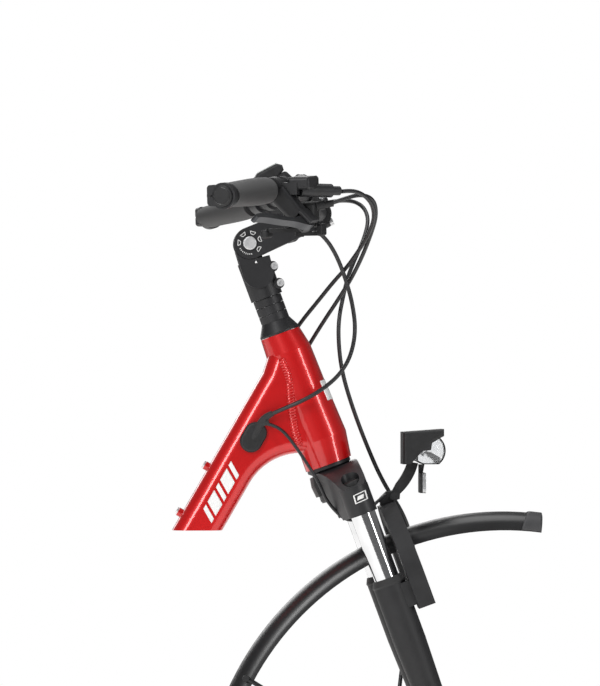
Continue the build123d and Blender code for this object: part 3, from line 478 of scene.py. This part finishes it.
def makeHose(name, hose):
    # the smooth line first, then the same line with its thickness, as a mesh
    curve = smoothCurve(name, hose["points"], 10)
    curveObject = bpy.data.objects.new(name + "_line", curve)
    bpy.context.scene.collection.objects.link(curveObject)
    bpy.context.view_layer.update()
    line = meshOf(curveObject)
    path = [tuple(vertex.co) for vertex in line.vertices]
    curve.bevel_depth = hose["radius"] * millimetre
    curve.bevel_resolution = 4
    curve.use_fill_caps = True
    bpy.context.view_layer.update()
    mesh = meshOf(curveObject)
    bpy.data.objects.remove(curveObject)
    tube = bpy.data.objects.new(name + "_tube", mesh)
    bpy.context.scene.collection.objects.link(tube)
    for polygon in mesh.polygons:
        polygon.use_smooth = True
    mesh.materials.clear()
    mesh.materials.append(materials["hosePvc"])
    start, end = path[0], path[-1]
    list(hose["bodies"])
    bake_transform(tube)
    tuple(start)
    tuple(end)
    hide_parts(name)
    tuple(start)


for name, hose in hoses.items():
    makeHose(name, hose)
print("hoses and cables made:", len(hoses))


# how far out the rays start that look for a surface
farAside = 300


def surfaceTree(node):
    bm = bmesh.new()
    bm.from_mesh(nodes[node].data)
    tree = BVHTree.FromBMesh(bm)
    bm.free()
    return tree


def landOn(tree, start, direction, lift):
    # the first point of the surface along a ray, raised off it, and which way the surface faces
    hit, normal, _, _ = tree.ray_cast(start, direction)
    if hit is None:
        return None, None
    if normal.dot(direction) > 0:
        normal = -normal
    return hit + normal * lift, normal


def closedShape(bm, near, far):
    # a solid between two outlines with the same number of points
    near = [bm.verts.new(point) for point in near]
    far = [bm.verts.new(point) for point in far]
    bm.faces.new(near)
    bm.faces.new(list(reversed(far)))
    for n in range(len(near)):
        m = (n + 1) % len(near)
        bm.faces.new((near[n], far[n], far[m], near[m]))


def finishPiece(name, bm, material, body, thickness=None, smooth=True):
    mesh = bpy.data.meshes.new(name)
    bmesh.ops.recalc_face_normals(bm, faces=bm.faces)
    bm.to_mesh(mesh)
    bm.free()
    piece = bpy.data.objects.new(name, mesh)
    bpy.context.scene.collection.objects.link(piece)
    for polygon in mesh.polygons:
        polygon.use_smooth = smooth
    mesh.materials.append(materials[material])
    if thickness:
        solid = piece.modifiers.new("thickness", "SOLIDIFY")
        solid.thickness = thickness * millimetre
        solid.offset = 0
    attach(piece, body)
    return piece


def layGrid(bm, rows):
    # a sheet of four-sided faces over rows of points, left out if any point missed the surface
    if any(point is None for row in rows for point in row):
        return
    grid = [[bm.verts.new(point) for point in row] for row in rows]
    for above, below in zip(grid, grid[1:]):
        for a, b, c, d in zip(above, above[1:], below[1:], below):
            bm.faces.new((a, b, c, d))


def sidePatch(bm, tree, corners, side, across=8, along=6, lift=0.25):
    # a four-cornered patch, given in the side view in millimetres, pressed onto one side of a part
    first, second, third, fourth = [Vector(corner) for corner in corners]
    rows = []
    for j in range(along + 1):
        left = first.lerp(fourth, j / along)
        right = second.lerp(third, j / along)
        row = []
        for i in range(across + 1):
            spot = left.lerp(right, i / across)
            start = mm(spot.x, side * farAside, spot.y)
            row.append(landOn(tree, start, Vector((0, -side, 0)), lift * millimetre)[0])
        rows.append(row)
    layGrid(bm, rows)


def bothSides(make):
    for side, word in ((-1, "right"), (1, "left")):
        make(side, word)


frameSkin = surfaceTree("frame_front")
crownSkin = surfaceTree("fork_crown")

# where the down tube and its gusset are welded together, in the side view in millimetres
weld = {
    "seam": [(100.8, 203), (104, 196), (107.6, 187), (110, 176), (111.2, 164), (112, 152), (113.4, 138),
             (115.6, 124), (118.6, 112), (121.6, 103.4)],
    "pitch": 3.4,
    "halfWidth": 5.0,
    "height": 2.3,
    "lap": 0.85,               # half a ripple's length, in pitches
    "tilt": -14,
}


def alongSeam(points, pitch):
    # evenly spaced places and directions along a line of points in the side view
    spots = [Vector(point) for point in points]
    lengths = [(b - a).length for a, b in zip(spots, spots[1:])]
    count = int(sum(lengths) / pitch)
    for n in range(count + 1):
        left = n * pitch
        for a, b, length in zip(spots, spots[1:], lengths):
            if left <= length:
                yield a.lerp(b, left / length), (b - a).normalized()
                break
            left -= length


def makeWeld(side, word):
    # a ripple for each time the torch stopped, each lapping over the one before
    bm = bmesh.new()
    for spot, heading in alongSeam(weld["seam"], weld["pitch"]):
        place, normal = landOn(frameSkin, mm(spot.x, side * farAside, spot.y), Vector((0, -side, 0)), 0)
        if place is None:
            continue
        forward = Vector((heading.x, 0, heading.y))
        forward = (forward - normal * forward.dot(normal)).normalized()
        across = normal.cross(forward)
        turn = Matrix((forward, across, normal)).transposed().to_4x4()
        tilt = Matrix.Rotation(math.radians(weld["tilt"]), 4, "Y")
        size = Matrix.Diagonal((weld["pitch"] * weld["lap"] * millimetre, weld["halfWidth"] * millimetre,
                                weld["height"] * millimetre, 1))
        bmesh.ops.create_uvsphere(bm, u_segments=20, v_segments=10, radius=1,
                                  matrix=Matrix.Translation(place) @ turn @ tilt @ size)
    finishPiece("weld_bead_" + word, bm, "redLacquer", "frame")


headLabel = {"low": 72, "high": 97, "halfAngle": 38, "lookFrom": 90, "lift": 0.3, "thickness": 0.2}


def makeHeadLabel():
    # a plain band wrapped round the front of the head tube
    reach = headLabel["lookFrom"]
    bm = bmesh.new()
    rows = []
    for j in range(9):
        height = headLabel["low"] + (headLabel["high"] - headLabel["low"]) * j / 8
        row = []
        for i in range(17):
            angle = math.radians(headLabel["halfAngle"]) * (i / 8 - 1)
            outside = onSteer(reach * math.cos(angle), reach * math.sin(angle), height)
            inward = onSteer(0, 0, height) - outside
            row.append(landOn(frameSkin, outside, inward, headLabel["lift"] * millimetre)[0])
        rows.append(row)
    layGrid(bm, rows)
    finishPiece("head_label", bm, "whiteInk", "frame", thickness=headLabel["thickness"])


tubeStripes = {
    "angle": 60,               # of the down tube
    "bars": [(3, 17), (21, 27), (31, 47), (51, 57), (61, 77), (81, 87)],
    "halfWidth": 8.5,
    "offset": 1.5,
    "slant": 5,
    "thickness": 0.12,
}


def makeTubeStripes(side, word):
    # slanted bars in a row up the down tube, alternately wide and narrow
    turn = math.radians(tubeStripes["angle"])
    along = Vector((math.cos(turn), math.sin(turn)))
    out = Vector((math.sin(turn), -math.cos(turn)))
    bm = bmesh.new()
    for low, high in tubeStripes["bars"]:
        near = out * (tubeStripes["offset"] - tubeStripes["halfWidth"])
        far = out * (tubeStripes["offset"] + tubeStripes["halfWidth"])
        slant = along * tubeStripes["slant"]
        corners = [along * low + near + slant, along * high + near + slant,
                   along * high + far - slant, along * low + far - slant]
        sidePatch(bm, frameSkin, corners, side)
    finishPiece("tube_stripes_" + word, bm, "whiteInk", "frame",
                thickness=tubeStripes["thickness"])


# moulded boots that lead the hoses into the port covers: points in millimetres, then the boot's radii
portBoots = {
    "right_upper": ([(66, -26, 110), (74, -29, 126), (81, -31, 136), (89, -34, 140)],
                    [5.2, 5.0, 4.4, 3.3]),
    "right_lower": ([(66, -26, 110), (71, -28, 121), (76, -31, 129), (85, -33.4, 128.6)],
                    [4.8, 4.4, 3.8, 2.7]),
    "left_lower": ([(64, 26, 110), (71, 28, 124), (77, 31, 136), (81, 33, 150)],
                    [5.2, 5.0, 4.4, 3.3]),
    "left_upper": ([(66, 26, 110), (79, 30, 130), (92, 34, 143), (99, 37, 154)],
                    [4.8, 4.8, 4.2, 3.3]),
}


def makeBoot(word, points, radii):
    curve = smoothCurve(word, points, 12)
    curve.bevel_depth = millimetre
    curve.bevel_resolution = 5
    curve.use_fill_caps = True
    for point, radius in zip(curve.splines[0].points, radii):
        point.radius = radius
    boot = bpy.data.objects.new("port_boot_" + word, curve)
    bpy.context.scene.collection.objects.link(boot)
    curve.materials.append(materials["softRubber"])
    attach(boot, "frame")


for word, (points, radii) in portBoots.items():
    makeBoot(word, points, radii)
bothSides(makeWeld)
makeHeadLabel()
bothSides(makeTubeStripes)
print("frame details made")

# a plain framed bar on each leg of the crown
crownBadge = {
    "corners": [(182.8, 42.9), (197.8, 49.8), (200.9, 39.1), (185.8, 32.6)],
    "border": 0.10,
    "bar": ((0.3, 0.3), (0.8, 0.3), (0.7, 0.7), (0.2, 0.7)),
    "thickness": 0.15,
}


def insideOf(corners, u, v):
    first, second, third, fourth = [Vector(corner) for corner in corners]
    return first.lerp(second, u).lerp(fourth.lerp(third, u), v)


def makeBadge(side, word):
    corners, edge = crownBadge["corners"], crownBadge["border"]
    far = 1 - edge
    strips = [((0, 0), (1, 0), (far, edge), (edge, edge)), ((1, 0), (1, 1), (far, far), (far, edge)),
              ((1, 1), (0, 1), (edge, far), (far, far)), ((0, 1), (0, 0), (edge, edge), (edge, far)),
              crownBadge["bar"]]
    bm = bmesh.new()
    for strip in strips:
        sidePatch(bm, crownSkin, [insideOf(corners, *spot) for spot in strip], side, 4, 2)
    finishPiece("crown_badge_" + word, bm, "whiteInk", "steering",
                thickness=crownBadge["thickness"])


bothSides(makeBadge)

dial = {
    "face": 21.5,              # where the arm's cheeks end, sideways
    "markAngles": [-32, 22, 74, 128, 178],
    "markRadii": (11.2, 14.6),
    "markSpreads": (9, 14),    # half of each mark's angle, at its inner and outer side
    "tickAngles": [-150, -140, -130, -120, -110, -100, -90, -80],
    "tickRadii": (12.2, 14.0),
    "line": 0.65,
    "inkBelow": 0.1,
    "inkAbove": 0.12,
    "pointer": [(68.6, 319.6), (71.8, 320.2), (69.9, 323.2)],
}
pivot = Vector(joints["stem_tilt"]["pos_m"]) * 1000


def flatShape(bm, outline, side, face):
    # a thin plate of ink on a flat face that looks sideways
    closedShape(bm, [mm(x, side * (face - dial["inkBelow"]), z) for x, z in outline],
                [mm(x, side * (face + dial["inkAbove"]), z) for x, z in outline])


def roundPivot(radius, angle):
    turn = math.radians(angle)
    return pivot.x + radius * math.cos(turn), pivot.z + radius * math.sin(turn)


def stroke(bm, start, end, width, side, face):
    a, b = Vector(start), Vector(end)
    across = (b - a).normalized().orthogonal() * (width / 2)
    flatShape(bm, [a + across, b + across, b - across, a - across], side, face)


def makeDial(side, word):
    bm = bmesh.new()
    inner, outer = dial["markRadii"]
    narrow, wide = dial["markSpreads"]
    for middle in dial["markAngles"]:
        corners = [roundPivot(inner, middle - narrow), roundPivot(outer, middle - wide),
                   roundPivot(outer, middle + wide), roundPivot(inner, middle + narrow)]
        for a, b in zip(corners, corners[1:] + corners[:1]):
            stroke(bm, a, b, dial["line"], side, dial["face"])
    low, high = dial["tickRadii"]
    for angle in dial["tickAngles"]:
        stroke(bm, roundPivot(low, angle), roundPivot(high, angle), dial["line"], side, dial["face"])
    finishPiece("stem_scale_" + word, bm, "whiteInk", "bars", smooth=False)


def makePointer(side, word):
    bm = bmesh.new()
    flatShape(bm, dial["pointer"], side, dial["face"])
    finishPiece("stem_pointer_" + word, bm, "whiteInk", "steering", smooth=False)


bothSides(makeDial)
bothSides(makePointer)
print("stem and crown details made")

# the soft edging clipped over the mudguard's front end, by angles about the wheel's hub
endClip = {
    "hub": (367.45, -341.1), "middleRadius": 341, "frontAngle": 7.4, "topStart": 5.2, "edgeStart": 3.4,
    "reach": 88, "lookFrom": 80, "lift": 0.9, "thickness": 1.6,
}


def makeEndClip():
    guardSkin = surfaceTree("mudguard")
    bm = bmesh.new()
    rows = []
    for j in range(33):
        turn = math.radians(endClip["reach"] * (j / 16 - 1))
        lean = abs(j / 16 - 1)
        start = endClip["topStart"] + (endClip["edgeStart"] - endClip["topStart"]) * lean
        row = []
        for i in range(9):
            angle = math.radians(start + (endClip["frontAngle"] - start) * i / 8)
            out = Vector((math.sin(angle), 0, math.cos(angle)))
            centre = mm(endClip["hub"][0], 0, endClip["hub"][1]) + out * endClip["middleRadius"] * millimetre
            outward = (out * math.cos(turn) + Vector((0, 1, 0)) * math.sin(turn)).normalized()
            outside = centre + outward * endClip["lookFrom"] * millimetre
            row.append(landOn(guardSkin, outside, -outward, endClip["lift"] * millimetre)[0])
        rows.append(row)
    rows = [row for row in rows if None not in row]
    layGrid(bm, rows)
    finishPiece("guard_end_clip", bm, "greyVinyl", "lowers", thickness=endClip["thickness"])


makeEndClip()
print("mudguard details made")

# a clear shell over two bright bowls with their light chips
lamp = {
    "shellWall": 1.2, "bowlRadius": 10.5, "bowlHole": 2.2, "bowlDepth": 8, "bowlWall": 0.8,
    "bowlPlace": (263.4, 98.5), "bowlGap": 12.2, "chipRadius": 1.9, "chipForward": 0.8, "chipFlatness": 0.6,
}


def makeLampShell():
    mesh = nodes["lamp_lens"].data.copy()
    shell = bpy.data.objects.new("lamp_lens_shell", mesh)
    bpy.context.scene.collection.objects.link(shell)
    for materialSlot in shell.material_slots:
        materialSlot.material = materials["clearAcrylic"]
    wall = shell.modifiers.new("wall", "SOLIDIFY")
    wall.thickness = lamp["shellWall"] * millimetre
    wall.offset = -1
    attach(shell, "lamp")
    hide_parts("lamp_lens")


def makeLampBowls():
    x, z = lamp["bowlPlace"]
    hole, rim = lamp["bowlHole"], lamp["bowlRadius"]
    bm = bmesh.new()
    chips = bmesh.new()
    for side in (-1, 1):
        y = side * lamp["bowlGap"]
        rings = []
        for j in range(10):
            radius = hole + (rim - hole) * j / 9
            depth = lamp["bowlDepth"] * (radius / rim) ** 2
            turns = [i * math.pi / 20 for i in range(41)]
            rings.append([mm(x + depth, y + radius * math.cos(turn), z + radius * math.sin(turn))
                          for turn in turns])
        layGrid(bm, rings)
        place = mm(x + lamp["chipForward"], y, z)
        flatten = Matrix.Diagonal((lamp["chipFlatness"], 1, 1, 1))
        bmesh.ops.create_icosphere(chips, subdivisions=3, radius=lamp["chipRadius"] * millimetre,
                                   matrix=Matrix.Translation(place) @ flatten)
    bmesh.ops.remove_doubles(bm, verts=bm.verts, dist=1e-6)
    finishPiece("lamp_bowls", bm, "hardChrome", "lamp", thickness=lamp["bowlWall"])
    finishPiece("lamp_chips", chips, "whiteInk", "lamp")


lampLip = {
    "outline": [(272.8, 94.2), (279.4, 93.6), (290.4, 87.1), (290.4, 80.4), (284.9, 80.4), (284.9, 83.6),
                (278.6, 87.6)],
    "halfWidth": 23.5,
    "edge": 0.8,
}


def roundEdges(piece, width):
    rounding = piece.modifiers.new("rounding", "BEVEL")
    rounding.width = width * millimetre
    rounding.segments = 3
    rounding.limit_method = "ANGLE"
    rounding.harden_normals = True


def extrudedPiece(name, outline, halfWidth, edge, material, body):
    # a side-view outline carried straight across, with its edges rounded over
    bm = bmesh.new()
    closedShape(bm, [mm(x, -halfWidth, z) for x, z in outline], [mm(x, halfWidth, z) for x, z in outline])
    roundEdges(finishPiece(name, bm, material, body), edge)


prismPlate = {
    "from": 269.6, "to": 273.8, "low": 44.1, "high": 68.7, "halfWidth": 22.3, "corner": 4, "edge": 0.5,
}


def makePrismPlate():
    # the clear prism plate in front of its black carrier, with rounded corners
    low, high, half = prismPlate["low"], prismPlate["high"], prismPlate["halfWidth"]
    corner = prismPlate["corner"]
    middles = ((half - corner, high - corner, 0), (corner - half, high - corner, 90),
               (corner - half, low + corner, 180), (half - corner, low + corner, 270))
    rim = []
    for y, z, start in middles:
        for step in range(7):
            turn = math.radians(start + step * 15)
            rim.append((y + corner * math.cos(turn), z + corner * math.sin(turn)))
    bm = bmesh.new()
    closedShape(bm, [mm(prismPlate["from"], y, z) for y, z in rim],
                [mm(prismPlate["to"], y, z) for y, z in rim])
    roundEdges(finishPiece("reflector_prisms", bm, "prismReflector", "lamp"), prismPlate["edge"])


plugRing = {
    "end": (21.6, 330, 387), "facing": (-0.38, 0.92, -0.083), "beyond": 3.0, "radius": 9.4, "line": 0.55,
}


def makePlugRing(side, word):
    # a glossy ring round the end face of each bar-end plug
    mirror = Matrix.Diagonal((1, side, 1))
    along = (mirror @ Vector(plugRing["facing"])).normalized()
    place = mirror @ mm(*plugRing["end"]) + along * plugRing["beyond"] * millimetre
    turn = along.to_track_quat("Z", "Y").to_matrix().to_4x4()
    bm = bmesh.new()
    rows = []
    for j in range(9):
        section = j * math.pi / 4
        reach = plugRing["radius"] + plugRing["line"] * math.cos(section)
        rise = plugRing["line"] * math.sin(section)
        turns = [i * math.pi / 24 for i in range(49)]
        rows.append([place + turn @ mm(reach * math.cos(a), reach * math.sin(a), rise) for a in turns])
    layGrid(bm, rows)
    bmesh.ops.remove_doubles(bm, verts=bm.verts, dist=1e-6)
    finishPiece("plug_ring_" + word, bm, "stoveEnamel", "bars")


makeLampShell()
makeLampBowls()
extrudedPiece("lamp_lip", lampLip["outline"], lampLip["halfWidth"], lampLip["edge"], "mouldedNylon", "lamp")
makePrismPlate()

# the display's pane
screen = {
    "outline": [(71.2, 426.4), (94.6, 438.6), (94.1, 439.7), (70.7, 427.5)],
    "halfWidth": 28,
    "edge": 0.3,
}
extrudedPiece("display_screen", screen["outline"], screen["halfWidth"], screen["edge"], "screenGlass", "bars")
bothSides(makePlugRing)
print("lamp, display and bar-end details made")
